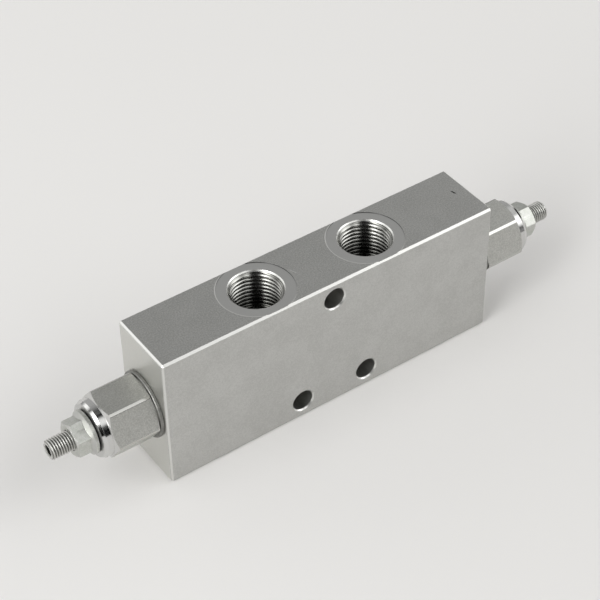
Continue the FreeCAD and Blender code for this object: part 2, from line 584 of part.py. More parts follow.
def build_side(side, turned):
    """Every piece of one adjuster, from the seal washer to the lock nut."""
    split, middle = "(washer_split / 2)", f"({SEAT_START} + spring_seat_thickness / 2)"
    groove = f"({POPPET_END} - guide_seal_back - groove_width / 2)"
    return [
        build_bonnet(side, turned),
        build_washer(side, turned),
        build_ring("seal_lip_" + side, "(washer_inner / 2)", split, BLOCK_END, BOSS_START,
                   turned, "lip_slope"),
        build_main_poppet(side, turned),
        build_seal("poppet_seal_" + side, GUIDE_RADIUS, groove, turned),
        build_check_poppet(side, turned),
        build_spring("check_spring_" + side, "check_spring_radius", "check_wire", "check_turns",
                     CHECK_BACK, f"({PLUG_START} - {CHECK_BACK})", turned),
        build_plug(side, turned),
        build_spring("main_spring_" + side, "main_spring_radius", "main_wire", "main_turns",
                     PLUG_END, "main_spring_length", turned),
        build_spring_seat(side, turned),
        build_seal("spring_seat_seal_" + side, GUIDE_RADIUS, middle, turned),
        build_adjuster(side, turned),
        build_ring("nut_seal_" + side, "(nut_seal_inner / 2)", "(nut_seal_outer / 2)",
                   BONNET_END, NUT_START, turned),
        build_lock_nut(side, turned),
    ]


document = FreeCAD.newDocument("brake_valve")
make_sheet(document)
pieces = [build_block(), build_pilot()]
pieces.append(build_seal("pilot_seal", PILOT_RADIUS, "0", False))
pieces += build_side("right", False)
pieces += build_side("left", True)
document.recompute()

for item in document.Objects:
    if {"Invalid", "Error"} & set(item.State):
        raise RuntimeError(f"{item.Label} failed: {item.State}")
for piece in pieces:
    if piece.Shape.isNull() or not piece.Shape.isValid() or len(piece.Shape.Solids) != 1:
        raise RuntimeError(f"{piece.Label} is not one valid solid")

os.makedirs("parts", exist_ok=True)
for piece in pieces:
    piece.Shape.exportStep(f"parts/{piece.Label}.step")
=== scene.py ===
import logging
import math
from dataclasses import dataclass
from enum import Enum
from typing import Optional, Union

import bpy
from mathutils import Matrix, Vector


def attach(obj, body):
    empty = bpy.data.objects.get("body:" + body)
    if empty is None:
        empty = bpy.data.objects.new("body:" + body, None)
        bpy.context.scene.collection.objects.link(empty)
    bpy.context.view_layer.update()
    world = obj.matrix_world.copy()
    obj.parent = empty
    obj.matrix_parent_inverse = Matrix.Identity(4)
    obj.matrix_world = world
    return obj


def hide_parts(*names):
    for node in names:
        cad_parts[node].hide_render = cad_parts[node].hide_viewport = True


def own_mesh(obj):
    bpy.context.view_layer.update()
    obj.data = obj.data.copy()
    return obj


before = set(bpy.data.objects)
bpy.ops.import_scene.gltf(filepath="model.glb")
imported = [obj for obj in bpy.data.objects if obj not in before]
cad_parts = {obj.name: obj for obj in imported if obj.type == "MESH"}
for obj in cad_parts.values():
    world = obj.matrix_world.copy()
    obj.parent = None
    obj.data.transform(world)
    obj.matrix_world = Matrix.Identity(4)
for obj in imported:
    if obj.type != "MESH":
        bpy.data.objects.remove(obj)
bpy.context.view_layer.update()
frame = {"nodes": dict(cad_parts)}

LOG = logging.getLogger("brake_valve")
MM = 0.001
FULL_TURN = 2 * math.pi
BLOCK_LENGTH = 150.0
BLOCK_WIDTH = 30.0
BLOCK_HEIGHT = 60.0
AXIS_HEIGHT = BLOCK_HEIGHT / 2
VALVE_PORT_SPACING = 50.0
CYLINDER_PORT_SPACING = 100.0
SPOT_RADIUS = 15.0
SPOT_DEPTH = 0.2

Socket = bpy.types.NodeSocket
Value = Union[float, tuple, Socket]
Colour = tuple[float, float, float]
Point = tuple[float, float, float]


class Side(Enum):
    """The two ends of the block; the value is the sign of X."""

    RIGHT = 1
    LEFT = -1

    @property
    def label(self) -> str:
        """The side's word in the names of the pieces."""
        return self.name.lower()


class Face(Enum):
    """The faces of the block that have ports; the value is the sign of Z."""

    TOP = 1
    BOTTOM = -1


def heading(azimuth: float, elevation: float) -> Vector:
    """Give the direction of a place in the studio, seen from the part.

    Args:
        azimuth: degrees from the front, growing towards the right end.
        elevation: degrees above level.

    Returns:
        A unit vector from the part to that place.
    """
    turn, lift = math.radians(azimuth), math.radians(elevation)
    return Vector((math.sin(turn) * math.cos(lift), -math.cos(turn) * math.cos(lift), math.sin(lift)))


class Graph:
    """A node tree under construction, with one short call for each kind of node."""

    def __init__(self, tree: bpy.types.NodeTree) -> None:
        """Take an empty tree.

        Args:
            tree: the node tree of a material or of the world.
        """
        self.tree = tree
        tree.nodes.clear()

    def add(self, kind: str, inputs: Optional[dict] = None, **settings: object) -> bpy.types.Node:
        """Add a node, set it up and join its inputs.

        Args:
            kind: Blender's name of the node's type.
            inputs: values or sockets by the input's name or number.
            settings: attributes of the node.

        Returns:
            The new node.
        """
        node = self.tree.nodes.new(kind)
        for name, setting in settings.items():
            setattr(node, name, setting)
        for key, value in (inputs or {}).items():
            if isinstance(value, Socket):
                self.tree.links.new(value, node.inputs[key])
            else:
                node.inputs[key].default_value = value
        return node

    def math(self, operation: str, first: Value, second: Value = 0.0, third: Value = 0.0) -> Socket:
        """Work out one number from up to three.

        Args:
            operation: Blender's name of the operation.
            first: the first number.
            second: the second number, where the operation has one.
            third: the third number, where the operation has one.

        Returns:
            The result.
        """
        return self.add("ShaderNodeMath", {0: first, 1: second, 2: third}, operation=operation).outputs[0]

    def fade(self, value: Value, low: float, high: float, start: float = 0.0, end: float = 1.0) -> Socket:
        """Change a number smoothly while another passes through a range.

        Args:
            value: the number that passes through the range.
            low: where the change starts.
            high: where the change ends.
            start: the result up to low.
            end: the result from high on.

        Returns:
            The result.
        """
        inputs = {"Value": value, "From Min": low, "From Max": high, "To Min": start, "To Max": end}
        return self.add("ShaderNodeMapRange", inputs, interpolation_type="SMOOTHSTEP").outputs[0]

    def times(self, first: Value, *others: Value) -> Socket:
        """Multiply numbers."""
        for other in others:
            first = self.math("MULTIPLY", first, other)
        return first

    def rest(self, share: Value) -> Socket:
        """Give what a share leaves of one."""
        return self.math("SUBTRACT", 1.0, share)

    def blend(self, factor: Value, first: Value, second: Value) -> Socket:
        """Mix two colours.

        Args:
            factor: share of the second colour.
            first: the first colour.
            second: the second colour.

        Returns:
            The mixed colour.
        """
        first = first if isinstance(first, Socket) else (*first, 1.0)
        second = second if isinstance(second, Socket) else (*second, 1.0)
        return self.add("ShaderNodeMix", {0: factor, 6: first, 7: second}, data_type="RGBA").outputs[2]

    def lean(self, factor: Value, first: Socket, second: Socket) -> Socket:
        """Mix two directions by the share of the second."""
        return self.add("ShaderNodeMix", {0: factor, 4: first, 5: second}, data_type="VECTOR").outputs[1]

    def place(self) -> Socket:
        """Give the point on the piece in millimetres."""
        here = self.add("ShaderNodeTexCoord").outputs["Object"]
        return self.add("ShaderNodeVectorMath", {0: here, "Scale": 1 / MM}, operation="SCALE").outputs[0]

    def split(self, vector: Socket) -> tuple[Socket, Socket, Socket]:
        """Give the three numbers of a vector."""
        return tuple(self.add("ShaderNodeSeparateXYZ", {0: vector}).outputs)

    def join(self, x: Value, y: Value, z: Value) -> Socket:
        """Put three numbers together to a vector."""
        return self.add("ShaderNodeCombineXYZ", {0: x, 1: y, 2: z}).outputs[0]

    def reach(self, first: Value, second: Value) -> Socket:
        """Give the length of the two short sides of a triangle together."""
        square = self.math("MULTIPLY_ADD", first, first, self.times(second, second))
        return self.math("SQRT", square)

    def off_axis(self, y: Value, z: Value) -> Socket:
        """Give the distance from the valve's long axis."""
        return self.reach(y, self.math("SUBTRACT", z, AXIS_HEIGHT))

    def unit(self, vector: Socket) -> Socket:
        """Bring a vector to a length of one."""
        return self.add("ShaderNodeVectorMath", {0: vector}, operation="NORMALIZE").outputs[0]

    def dot(self, first: Value, second: Value) -> Socket:
        """Give how far two directions agree, from -1 to 1."""
        node = self.add("ShaderNodeVectorMath", {0: first, 1: second}, operation="DOT_PRODUCT")
        return node.outputs["Value"]

    def stroke(self, x: Socket, y: Socket, start: tuple[float, float], end: tuple[float, float],
               width: float) -> Socket:
        """Mark a short straight line on a flat face.

        Args:
            x: first place on the face.
            y: second place on the face.
            start: where the line starts.
            end: where the line ends.
            width: half of the line's width.

        Returns:
            One on the line, fading to zero beside it and past its ends.
        """
        long = math.hypot(end[0] - start[0], end[1] - start[1])
        ux, uy = (end[0] - start[0]) / long, (end[1] - start[1]) / long
        dx, dy = self.math("SUBTRACT", x, start[0]), self.math("SUBTRACT", y, start[1])
        along = self.math("MULTIPLY_ADD", dx, ux, self.times(dy, uy))
        across = self.math("ABSOLUTE", self.math("MULTIPLY_ADD", dx, -uy, self.times(dy, ux)))
        ends = self.times(self.fade(along, 0.0, long / 3), self.fade(along, 2 * long / 3, long, 1.0, 0.0))
        return self.times(self.fade(across, width * 0.4, width, 1.0, 0.0), ends)

    def noise(self, vector: Socket, scale: float, detail: float = 2.0, swirl: float = 0.0) -> Socket:
        """Give soft random values.

        Args:
            vector: the point on the piece.
            scale: features for each millimetre.
            detail: how many finer layers are added.
            swirl: how far the pattern is distorted.

        Returns:
            A number about one half.
        """
        inputs = {"Vector": vector, "Scale": scale, "Detail": detail, "Distortion": swirl}
        return self.add("ShaderNodeTexNoise", inputs).outputs[0]

    def normal(self) -> Socket:
        """Give the direction that the surface faces."""
        return self.add("ShaderNodeNewGeometry").outputs["Normal"]

    def end_on(self) -> Socket:
        """Give how far the surface faces along the valve's long axis, from 0 to 1."""
        return self.math("ABSOLUTE", self.split(self.normal())[0])

    def bands(self, where: Socket, scale: float) -> Socket:
        """Give random values along one line, with scale features for each millimetre."""
        inputs = {"W": where, "Scale": scale, "Detail": 2.0}
        return self.add("ShaderNodeTexNoise", inputs, noise_dimensions="1D").outputs[0]

    def rings(self, place: Socket, scale: float) -> Socket:
        """Give the tool marks of turning: bands along a shaft, circles on a flat end.

        Args:
            place: the point on the piece.
            scale: marks for each millimetre.

        Returns:
            A number about one half.
        """
        x, y, z = self.split(place)
        across = self.fade(self.end_on(), 0.6, 0.8)
        where = self.math("MULTIPLY_ADD", self.math("SUBTRACT", self.off_axis(y, z), x), across, x)
        return self.bands(where, scale)

    def bump(self, height: Socket, distance: float, under: Optional[Socket] = None) -> Socket:
        """Tilt the surface as a relief would.

        Args:
            height: the relief, from 0 to 1.
            distance: the height in millimetres that 1 stands for.
            under: normals of an earlier relief.

        Returns:
            The tilted normals.
        """
        inputs = {"Height": height, "Distance": distance * MM, "Strength": 1.0}
        if under is not None:
            inputs["Normal"] = under
        return self.add("ShaderNodeBump", inputs).outputs[0]


@dataclass(frozen=True)
class Finish:
    """A surface finish with its own procedural material."""

    name: str

    def paint(self, graph: Graph) -> dict:
        """Give the inputs of the main shader, by the input's name."""
        raise NotImplementedError

    def material(self) -> bpy.types.Material:
        """Make the material once and give it again when it is asked for later."""
        found = bpy.data.materials.get(self.name)
        if found:
            return found
        material = bpy.data.materials.new(self.name)
        material.use_nodes = True
        graph = Graph(material.node_tree)
        shader = graph.add("ShaderNodeBsdfPrincipled", self.paint(graph))
        graph.add("ShaderNodeOutputMaterial", {"Surface": shader.outputs[0]})
        return material

    def dress(self, *pieces: bpy.types.Object) -> None:
        """Give every slot of some pieces this finish."""
        for piece in pieces:
            if not piece.material_slots:
                piece.data.materials.append(self.material())
            for slot in piece.material_slots:
                slot.material = self.material()


@dataclass(frozen=True)
class Mark:
    """A short straight mark on the block's top face."""

    start: tuple[float, float]
    end: tuple[float, float]
    width: float
    colour: Colour
    strength: float


NICK = Mark((68.6, 3.2), (69.4, 0.0), 0.45, (0.03, 0.03, 0.03), 1.0)
SCRATCH = Mark((-9.5, 2.5), (-7.5, -2.5), 0.25, (0.80, 0.80, 0.78), 0.5)


@dataclass(frozen=True)
class BlockPlace:
    """Where a point of the block lies: distances in millimetres, and shares from 0 to 1."""

    place: Socket
    x: Socket
    y: Socket
    port_x: Socket
    port_radius: Socket
    facing_end: Socket
    facing_up: Socket
    inside: Socket
    broken_edge: Socket
    top_face: Socket
    near_top: Socket
    spot_face: Socket
    rolled: Socket


@dataclass(frozen=True)
class BlockSteel(Finish):
    """Zinc plated steel bar: grainy rolled faces, bright broken edges, smooth spot faces."""

    name: str = "block_steel_satin"
    dull: Colour = (0.505, 0.505, 0.49)
    clear: Colour = (0.545, 0.545, 0.53)
    salt: Colour = (0.64, 0.64, 0.62)
    pepper: Colour = (0.43, 0.43, 0.415)
    glint: Colour = (0.78, 0.78, 0.76)
    milled: Colour = (0.72, 0.72, 0.685)
    turned: Colour = (0.53, 0.53, 0.52)
    painted_bore_shade: Colour = (0.24, 0.24, 0.23)
    edge: Colour = (0.70, 0.70, 0.68)
    painted_spot_wall_shade: Colour = (0.08, 0.08, 0.08)
    top_shade: float = 0.12
    skin: float = 0.6
    relief_depth: float = 0.014

    def locate(self, graph: Graph) -> BlockPlace:
        """Tell where on the block a point lies.

        Args:
            graph: the node tree under construction.

        Returns:
            The point's place among the faces, edges and spot faces.
        """
        place = graph.place()
        x, y, z = graph.split(place)
        facing_end, facing_front, facing_up = (
            graph.math("ABSOLUTE", part) for part in graph.split(graph.normal()))
        flat = graph.math("MAXIMUM", facing_end, graph.math("MAXIMUM", facing_front, facing_up))
        raised = graph.math("ABSOLUTE", graph.math("SUBTRACT", z, AXIS_HEIGHT))
        past_end = graph.math("GREATER_THAN", graph.math("ABSOLUTE", x), BLOCK_LENGTH / 2 - self.skin)
        past_front = graph.math("GREATER_THAN", graph.math("ABSOLUTE", y), BLOCK_WIDTH / 2 - self.skin)
        past_top = graph.math("GREATER_THAN", raised, BLOCK_HEIGHT / 2 - self.skin)
        faces = graph.math("ADD", past_end, graph.math("ADD", past_front, past_top))
        mouth = graph.math("MAXIMUM", graph.times(facing_front, past_front), graph.times(facing_up, past_top))
        edge = graph.math("MAXIMUM", graph.math("GREATER_THAN", faces, 1.5),
                          graph.math("GREATER_THAN", mouth, 0.4))
        port_x = graph.math("SUBTRACT", graph.math("ABSOLUTE", x), VALVE_PORT_SPACING / 2)
        port_radius = graph.reach(port_x, y)
        near_top = graph.fade(z, BLOCK_HEIGHT - 0.5, BLOCK_HEIGHT - 0.4)
        spot_face = graph.times(graph.fade(port_radius, SPOT_RADIUS, SPOT_RADIUS + 0.05, 1.0, 0.0), near_top)
        return BlockPlace(
            place, x, y, port_x, port_radius, facing_end, facing_up,
            inside=graph.math("LESS_THAN", faces, 0.5),
            broken_edge=graph.times(graph.fade(flat, 0.75, 0.9, 1.0, 0.0), edge),
            top_face=graph.times(graph.fade(facing_up, 0.7, 0.9), past_top),
            near_top=near_top,
            spot_face=spot_face,
            rolled=graph.rest(spot_face),
        )

    def plating(self, graph: Graph, at: BlockPlace, grain: Socket) -> Socket:
        """Give the colour of the block's faces and broken edges.

        Args:
            graph: the node tree under construction.
            at: place of the point.
            grain: fine random pattern of the rolled faces.

        Returns:
            The colour.
        """
        cloud = graph.noise(at.place, 0.10, 4.0, 0.5)
        speck = graph.noise(at.place, 2.1, 1.0)
        strength = graph.times(at.rolled, graph.math("MULTIPLY_ADD", at.top_face, 0.45, 0.35))
        rolled_top = graph.times(at.top_face, at.rolled)
        colour = graph.blend(graph.fade(cloud, 0.3, 0.7), self.dull, self.clear)
        light_grain = graph.fade(grain, 0.48, 0.66)
        dark_grain = graph.fade(grain, 0.34, 0.50, 1.0, 0.0)
        colour = graph.blend(graph.times(light_grain, strength), colour, self.salt)
        colour = graph.blend(graph.times(dark_grain, strength), colour, self.pepper)
        colour = graph.blend(graph.times(graph.fade(speck, 0.70, 0.78), rolled_top, 0.6), colour, self.glint)
        colour = graph.blend(graph.times(at.spot_face, 0.8), colour, self.turned)
        # Painted shade: the rolled top face is darkened towards black.
        colour = graph.blend(graph.times(rolled_top, self.top_shade), colour, (0.0, 0.0, 0.0))
        # End faces lighter: partly a milled finish, partly painted light on the ends.
        colour = graph.blend(graph.times(graph.fade(at.facing_end, 0.7, 0.9), 0.7), colour, self.milled)
        return graph.blend(at.broken_edge, colour, self.edge)

    def rim_spots(self, graph: Graph, at: BlockPlace, colour: Socket) -> Socket:
        """Draw painted shade on the step round each spot face, and a painted highlight on its outer edge at
        the left and front.

        Args:
            graph: the node tree under construction.
            at: place of the point.
            colour: colour of the block so far.

        Returns:
            The colour with the rims.
        """
        # Painted shade on the wall of the step round each spot face.
        step = graph.times(graph.fade(at.facing_up, 0.4, 0.6, 1.0, 0.0), at.near_top,
                           graph.fade(at.port_radius, SPOT_RADIUS - 0.3, SPOT_RADIUS - 0.2),
                           graph.fade(at.port_radius, SPOT_RADIUS + 0.2, SPOT_RADIUS + 0.3, 1.0, 0.0))
        colour = graph.blend(step, colour, self.painted_spot_wall_shade)
        # Painted highlight on the spot face's outer edge, on its left and front side only, in the broken
        # edges' colour.
        rearward = graph.math("MULTIPLY_ADD", at.port_x, graph.math("SIGN", at.x), graph.times(at.y, 0.75))
        painted_catch_light = graph.times(graph.fade(at.port_radius, SPOT_RADIUS + 0.05, SPOT_RADIUS + 0.15),
                           graph.fade(at.port_radius, SPOT_RADIUS + 0.4, SPOT_RADIUS + 0.5, 1.0, 0.0),
                           at.top_face, graph.fade(rearward, -6.0, 6.0, 1.0, 0.0))
        return graph.blend(painted_catch_light, colour, self.edge)

    def paint(self, graph: Graph) -> dict:
        """Give the inputs of the main shader, by the input's name."""
        at = self.locate(graph)
        grain = graph.noise(at.place, 1.9, 3.0)
        colour = self.rim_spots(graph, at, self.plating(graph, at, grain))
        for mark in (NICK, SCRATCH):
            line = graph.stroke(at.x, at.y, mark.start, mark.end, mark.width)
            colour = graph.blend(graph.times(line, at.top_face, mark.strength), colour, mark.colour)
        # Painted shade inside the bores and holes.
        colour = graph.blend(graph.times(at.inside, 0.35), colour, self.painted_bore_shade)
        rough = graph.math("MULTIPLY_ADD", grain, 0.16, 0.33)
        rough = graph.math("MULTIPLY_ADD", graph.math("MAXIMUM", at.spot_face, at.broken_edge), -0.08, rough)
        rim = graph.times(graph.fade(at.port_radius, SPOT_RADIUS, SPOT_RADIUS + 0.3), at.top_face)
        cutter_marks = graph.times(graph.bands(at.port_radius, 3.5), at.spot_face)
        relief = graph.times(grain, at.rolled, 0.8)
        relief = graph.math("MULTIPLY_ADD", rim, 4.0, relief)
        relief = graph.math("MULTIPLY_ADD", cutter_marks, 0.3, relief)
        return {"Base Color": colour, "Metallic": 1.0, "Roughness": rough,
                "Normal": graph.bump(relief, self.relief_depth)}


@dataclass(frozen=True)
class BonnetSteel(Finish):
    """Bonnet: mottled hexagon faces, polished band and bevels, and a fine turned end face."""

    name: str = "bonnet_steel_turned"
    dull: Colour = (0.485, 0.485, 0.46)
    clear: Colour = (0.525, 0.525, 0.50)
    salt: Colour = (0.64, 0.64, 0.61)
    pepper: Colour = (0.39, 0.39, 0.37)
    polished: Colour = (0.62, 0.62, 0.61)
    bright: Colour = (0.66, 0.66, 0.65)
    corner: float = 13.44
    hex_end: float = 95.25
    cone_start: float = 97.23
    band_end: float = 97.5
    bevel_tilt: float = 0.58
    relief_depth: float = 0.012

    def nose_facing(self, graph: Graph, x: Socket, y: Socket, z: Socket, end_face: Socket) -> Socket:
        """Give the way that the surface faces, with a longer band and a narrower bevel on the nose.

        Args:
            graph: the node tree under construction.
            x: place along the block.
            y: place from front to back.
            z: height.
            end_face: one on the bonnet's flat end.

        Returns:
            The direction, changed on the nose alone.
        """
        along = graph.math("ABSOLUTE", x)
        outward = graph.unit(graph.join(0.0, y, graph.math("SUBTRACT", z, AXIS_HEIGHT)))
        _, out_y, out_z = graph.split(outward)
        slant = graph.unit(graph.join(graph.times(graph.math("SIGN", x), self.bevel_tilt), out_y, out_z))
        nose = graph.times(graph.math("GREATER_THAN", along, self.cone_start), graph.rest(end_face))
        on_band = graph.fade(along, self.band_end, self.band_end + 0.1, 1.0, 0.0)
        return graph.lean(nose, graph.normal(), graph.lean(on_band, slant, outward))

    def paint(self, graph: Graph) -> dict:
        """Give the inputs of the main shader, by the input's name."""
        place = graph.place()
        x, y, z = graph.split(place)
        along = graph.math("ABSOLUTE", x)
        facing = graph.end_on()
        turned = graph.fade(facing, 0.3, 0.5)
        end_face = graph.fade(facing, 0.9, 0.97)
        corner = graph.fade(graph.off_axis(y, z), self.corner, self.corner + 0.06)
        outer = graph.math("GREATER_THAN", along, self.hex_end)
        smooth = graph.math("MAXIMUM", graph.math("MAXIMUM", turned, corner), outer)
        cloud = graph.noise(place, 0.3, 3.0, 0.5)
        grain = graph.noise(place, 2.1, 3.0)
        rings = graph.rings(place, 3.0)
        colour = graph.blend(graph.fade(cloud, 0.3, 0.7), self.dull, self.clear)
        colour = graph.blend(graph.fade(grain, 0.48, 0.66, 0.0, 0.55), colour, self.salt)
        colour = graph.blend(graph.fade(grain, 0.34, 0.50, 0.55, 0.0), colour, self.pepper)
        colour = graph.blend(smooth, colour, self.polished)
        hex_corner = graph.times(corner, graph.math("LESS_THAN", along, self.hex_end))
        colour = graph.blend(hex_corner, colour, self.clear)
        colour = graph.blend(graph.times(turned, graph.rest(end_face), outer), colour, self.bright)
        rough = graph.math("MULTIPLY_ADD", grain, 0.16, 0.33)
        shine = graph.math("MULTIPLY_ADD", end_face, 0.24, graph.math("MULTIPLY_ADD", rings, 0.08, 0.08))
        rough = graph.math("MULTIPLY_ADD", graph.math("SUBTRACT", shine, rough), smooth, rough)
        relief = graph.times(grain, graph.rest(smooth))
        relief = graph.math("MULTIPLY_ADD", graph.times(rings, smooth), 0.05, relief)
        facing_out = self.nose_facing(graph, x, y, z, end_face)
        return {"Base Color": colour, "Metallic": 1.0, "Roughness": rough,
                "Normal": graph.bump(relief, self.relief_depth, facing_out)}


@dataclass(frozen=True)
class TurnedSteel(Finish):
    """Turned or ground steel with fine rings round the part's long axis."""

    name: str
    dull: Colour
    clear: Colour
    roughness: float
    ring_depth: float = 0.003
    cloud_scale: float = 0.5

    def paint(self, graph: Graph) -> dict:
        """Give the inputs of the main shader, by the input's name."""
        place = graph.place()
        rings = graph.rings(place, 4.0)
        cloud = graph.noise(place, self.cloud_scale, 4.0, 0.5)
        colour = graph.blend(graph.fade(cloud, 0.35, 0.65), self.dull, self.clear)
        rough = graph.math("MULTIPLY_ADD", cloud, 0.16, self.roughness - 0.08)
        return {"Base Color": colour, "Metallic": 1.0, "Roughness": rough,
                "Normal": graph.bump(rings, self.ring_depth)}


@dataclass(frozen=True)
class NutZinc(Finish):
    """Lock nut: mottled zinc on its hexagon, bright turned slopes on flange and bevel."""

    name: str = "nut_bright_zinc"
    dull: Colour = (0.54, 0.555, 0.515)
    clear: Colour = (0.62, 0.625, 0.60)
    turned: Colour = (0.53, 0.53, 0.515)
    speck: Colour = (0.40, 0.42, 0.39)

    def paint(self, graph: Graph) -> dict:
        """Give the inputs of the main shader, by the input's name."""
        place = graph.place()
        facing = graph.end_on()
        slope = graph.times(graph.fade(facing, 0.2, 0.35), graph.fade(facing, 0.9, 0.97, 1.0, 0.0))
        cloud = graph.noise(place, 0.7, 4.0, 0.5)
        speck = graph.noise(place, 2.6, 2.0)
        rings = graph.rings(place, 2.5)
        colour = graph.blend(graph.fade(cloud, 0.35, 0.65), self.dull, self.clear)
        colour = graph.blend(graph.fade(speck, 0.34, 0.46, 0.5, 0.0), colour, self.speck)
        ring_mark = graph.times(slope, graph.fade(rings, 0.4, 0.6, 0.35, 0.0))
        colour = graph.blend(slope, colour, self.turned)
        colour = graph.blend(ring_mark, colour, self.dull)
        rough = graph.math("MULTIPLY_ADD", cloud, 0.16, 0.32)
        rough = graph.math("MULTIPLY_ADD", slope, 0.04, rough)
        relief = graph.math("MULTIPLY_ADD", rings, graph.times(slope, 0.8), graph.times(speck, 0.5))
        return {"Base Color": colour, "Metallic": 1.0, "Roughness": rough,
                "Normal": graph.bump(relief, 0.008)}


@dataclass(frozen=True)
class ThreadedZinc(Finish):
    """Zinc plated screw: bright thread crests over roots darkened with painted shade."""

    name: str = "screw_bright_zinc"
    root: Colour = (0.25, 0.25, 0.235)
    crest: Colour = (0.61, 0.61, 0.59)
    root_radius: float = 3.42
    crest_radius: float = 3.92

    def paint(self, graph: Graph) -> dict:
        """Give the inputs of the main shader, by the input's name."""
        place = graph.place()
        _, y, z = graph.split(place)
        crest = graph.fade(graph.off_axis(y, z), self.root_radius, self.crest_radius)
        share = graph.math("MAXIMUM", crest, graph.fade(graph.end_on(), 0.88, 0.95))
        cloud = graph.noise(place, 0.9, 3.0)
        # Painted shade in the thread roots: the colour darkens from crest to root.
        colour = graph.blend(share, self.root, self.crest)
        rough = graph.math("MULTIPLY_ADD", cloud, 0.16, 0.28)
        return {"Base Color": colour, "Metallic": 1.0, "Roughness": rough,
                "Normal": graph.bump(cloud, 0.006)}


@dataclass(frozen=True)
class PortSteel(Finish):
    """Cut thread of a port: bright crests over roots darkened with painted shade, and painted shade deepening
    down the port.
    """

    name: str = "port_thread_steel"
    crest: Colour = (0.48, 0.48, 0.46)
    root: Colour = (0.26, 0.26, 0.245)
    painted_depth_shade: Colour = (0.06, 0.06, 0.055)
    crest_radius: float = 9.5
    root_radius: float = 10.3
    top_middle: float = VALVE_PORT_SPACING / 2
    bottom_middle: float = CYLINDER_PORT_SPACING / 2

    def paint(self, graph: Graph) -> dict:
        """Give the inputs of the main shader, by the input's name."""
        place = graph.place()
        x, y, z = graph.split(place)
        on_top = graph.math("GREATER_THAN", z, AXIS_HEIGHT)
        middle = graph.math("MULTIPLY_ADD", on_top, self.top_middle - self.bottom_middle, self.bottom_middle)
        radius = graph.reach(graph.math("SUBTRACT", graph.math("ABSOLUTE", x), middle), y)
        crest = graph.fade(radius, self.crest_radius, self.root_radius, 1.0, 0.0)
        cloud = graph.noise(place, 0.6, 3.0)
        # Painted shade in the thread roots.
        colour = graph.blend(crest, self.root, self.crest)
        colour = graph.blend(graph.fade(cloud, 0.35, 0.65, 0.3, 0.0), colour, self.root)
        raised = graph.math("ABSOLUTE", graph.math("SUBTRACT", z, AXIS_HEIGHT))
        deep = graph.math("SUBTRACT", BLOCK_HEIGHT / 2, raised)
        # Painted shade that deepens down the port.
        colour = graph.blend(graph.fade(deep, 4.0, 15.0, 0.0, 0.85), colour, self.painted_depth_shade)
        rough = graph.math("MULTIPLY_ADD", cloud, 0.12, 0.14)
        return {"Base Color": colour, "Metallic": 1.0, "Roughness": rough,
                "Normal": graph.bump(graph.noise(place, 3.0, 3.0), 0.004)}


@dataclass(frozen=True)
class Rubber(Finish):
    """Black nitrile rubber with a slight sheen and a fine moulded grain."""

    name: str = "seal_rubber_black"
    black: Colour = (0.008, 0.008, 0.008)
    dusty: Colour = (0.018, 0.0175, 0.017)

    def paint(self, graph: Graph) -> dict:
        """Give the inputs of the main shader, by the input's name."""
        place = graph.place()
        grain = graph.noise(place, 4.0, 3.0)
        dust = graph.fade(graph.noise(place, 0.5, 3.0), 0.45, 0.75)
        colour = graph.blend(dust, self.black, self.dusty)
        return {"Base Color": colour, "Roughness": graph.math("MULTIPLY_ADD", grain, 0.2, 0.42),
                "Specular IOR Level": 0.3, "Normal": graph.bump(grain, 0.01)}


@dataclass(frozen=True)
class Paper(Finish):
    """Pale matt paper under the part, with a painted pool of light that makes it a little lighter on the
    left.
    """

    name: str = "floor_paper"
    left: Colour = (0.81, 0.80, 0.79)
    right: Colour = (0.765, 0.755, 0.745)

    def paint(self, graph: Graph) -> dict:
        """Give the inputs of the main shader, by the input's name."""
        x, _, _ = graph.split(graph.place())
        # Painted light: the paper fades from lighter on the left to darker on the right.
        return {"Base Color": graph.blend(graph.fade(x, -250.0, 250.0), self.left, self.right),
                "Roughness": 0.9, "Specular IOR Level": 0.2}


BLOCK_STEEL = BlockSteel()
BONNET_STEEL = BonnetSteel()
PORT_STEEL = PortSteel()
RUBBER = Rubber()
# The washer's zinc is painted dark, as painted shade between the hexagon and the block.
WASHER_STEEL = TurnedSteel("washer_zinc", (0.22, 0.22, 0.21), (0.28, 0.28, 0.265), 0.45, 0.001)
NUT_ZINC = NutZinc()
SCREW_ZINC = ThreadedZinc()
GROUND_STEEL = TurnedSteel("ground_steel", (0.48, 0.48, 0.49), (0.58, 0.58, 0.59), 0.18)
SPRING_STEEL = TurnedSteel("spring_wire", (0.26, 0.27, 0.29), (0.38, 0.39, 0.41), 0.34, 0.0)


def make_piece(name: str, points: list[Point], faces: list[tuple], finish: Finish,
               body: str) -> bpy.types.Object:
    """Make a piece of the visual model from points and faces.

    Args:
        name: name of the piece.
        points: corners in millimetres.
        faces: corner numbers of each face.
        finish: finish of the piece.
        body: body that the piece moves with.

    Returns:
        The new object.
    """
    mesh = bpy.data.meshes.new(name)
    mesh.from_pydata([tuple(c * MM for c in point) for point in points], [], faces)
    mesh.validate()
    mesh.shade_smooth()
    piece = bpy.data.objects.new(name, mesh)
    bpy.context.scene.collection.objects.link(piece)
    finish.dress(piece)
    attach(piece, body)
    LOG.info("%s: %d faces", name, len(mesh.polygons))
    return piece


def grid_faces(rows: int, columns: int) -> list[tuple]:
    """Join rows of points that run right round into four-sided faces.

    Args:
        rows: number of rings.
        columns: points in each ring.

    Returns:
        Corner numbers of each face.
    """
    faces = []
    for row in range(rows - 1):
        low, high = row * columns, (row + 1) * columns
        for column in range(columns):
            after = (column + 1) % columns
            faces.append((low + column, low + after, high + after, high + column))
    return faces


def capped_faces(rows: int, columns: int) -> list[tuple]:
    """Join rings into a tube with both ends closed, as grid_faces does for an open one."""
    last = (rows - 1) * columns
    return grid_faces(rows, columns) + [tuple(reversed(range(columns))), tuple(range(last, last + columns))]


